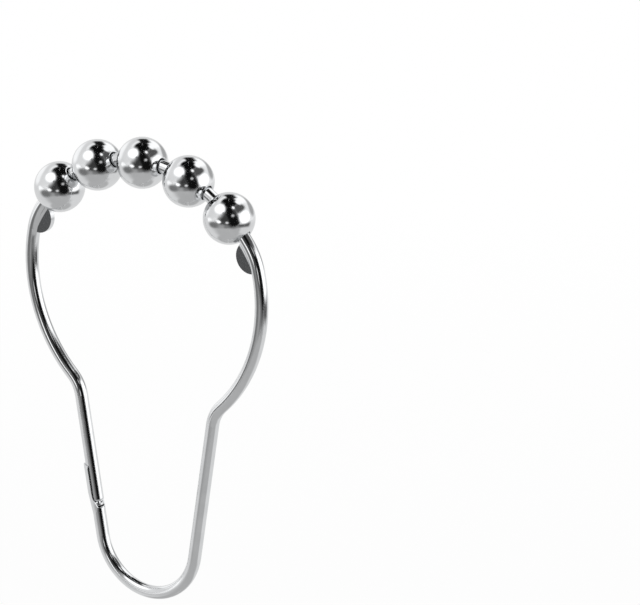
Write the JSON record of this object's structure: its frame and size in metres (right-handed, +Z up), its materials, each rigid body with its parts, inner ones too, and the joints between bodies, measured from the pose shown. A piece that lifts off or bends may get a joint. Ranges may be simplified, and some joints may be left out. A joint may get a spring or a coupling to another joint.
{
  "type": "shower curtain hook",
  "caption": "Roller hook for a shower curtain: a wire loop with a waist, balls threaded on its arch to roll on the rod, and a clasp in the back leg.",
  "frame": {"origin": "middle of the circle through the balls' centres, which is the axis of the largest round rod that all the balls touch", "axes": "+X along the shower rod, across the flat of the hook; +Y to the leg with the clasp, at the back; +Z up"},
  "size_m": [0.0084, 0.0494, 0.0802],
  "materials": {
    "wire_chrome": "bright mirror plating on spring wire",
    "ball_chrome": "bright mirror plating on a turned ball"
  },
  "bodies": {
    "wire": {"wire_hook": "wire_chrome"},
    "ball_front": {"roller_ball_1": "ball_chrome"},
    "ball_upper_front": {"roller_ball_2": "ball_chrome"},
    "ball_top": {"roller_ball_3": "ball_chrome"},
    "ball_upper_back": {"roller_ball_4": "ball_chrome"},
    "ball_back": {"roller_ball_5": "ball_chrome"}
  },
  "joints": [
    {"name": "roll_front", "type": "hinge", "parent": "wire", "child": "ball_front", "pos_m": [0, -0.01735, 0.01923], "axis": [0, 0.7426, 0.6697], "continuous": true},
    {"name": "roll_upper_front", "type": "hinge", "parent": "wire", "child": "ball_upper_front", "pos_m": [0, -0.00929, 0.02418], "axis": [0, 0.9334, 0.3587], "continuous": true},
    {"name": "roll_top", "type": "hinge", "parent": "wire", "child": "ball_top", "pos_m": [0, 0, 0.0259], "axis": [0, 1, 0], "continuous": true},
    {"name": "roll_upper_back", "type": "hinge", "parent": "wire", "child": "ball_upper_back", "pos_m": [0, 0.00929, 0.02418], "axis": [0, 0.9334, -0.3587], "continuous": true},
    {"name": "roll_back", "type": "hinge", "parent": "wire", "child": "ball_back", "pos_m": [0, 0.01735, 0.01923], "axis": [0, 0.7426, -0.6697], "continuous": true}
  ]
}
